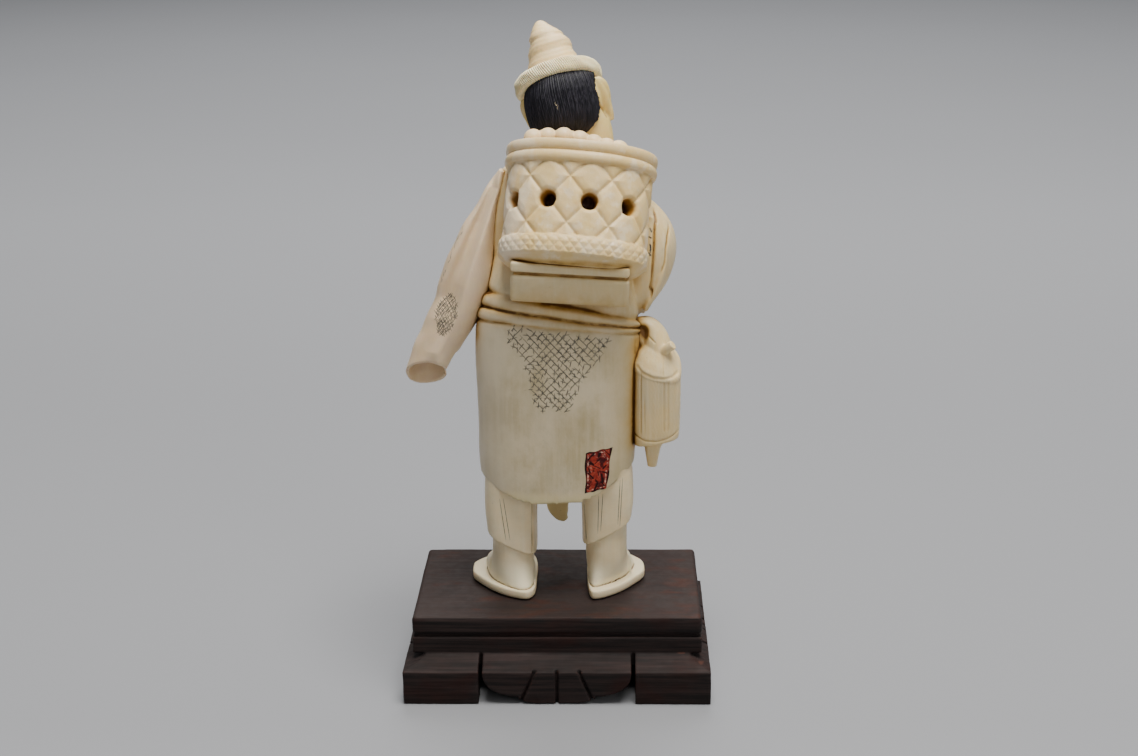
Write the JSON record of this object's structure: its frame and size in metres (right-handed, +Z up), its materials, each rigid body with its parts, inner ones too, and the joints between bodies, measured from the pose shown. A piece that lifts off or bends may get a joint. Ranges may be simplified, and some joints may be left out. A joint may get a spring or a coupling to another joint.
{
  "type": "okimono figure",
  "caption": "Carved pedlar in robe and rolled-brim hat, stooping under a lattice basket of fruit, on a stepped hardwood plinth with fan aprons.",
  "frame": {"origin": "centre of the plinth's underside", "axes": "+Z up; the pedlar faces -Y, so +X is the pedlar's left and the basket is on the +Y side"},
  "size_m": [0.074, 0.0534, 0.1571],
  "materials": {
    "ivory": null,
    "rosewood": "dark stained hardwood with a dull wax polish"
  },
  "bodies": {
    "root": {"figure": "ivory", "plinth": "rosewood"}
  },
  "joints": []
}
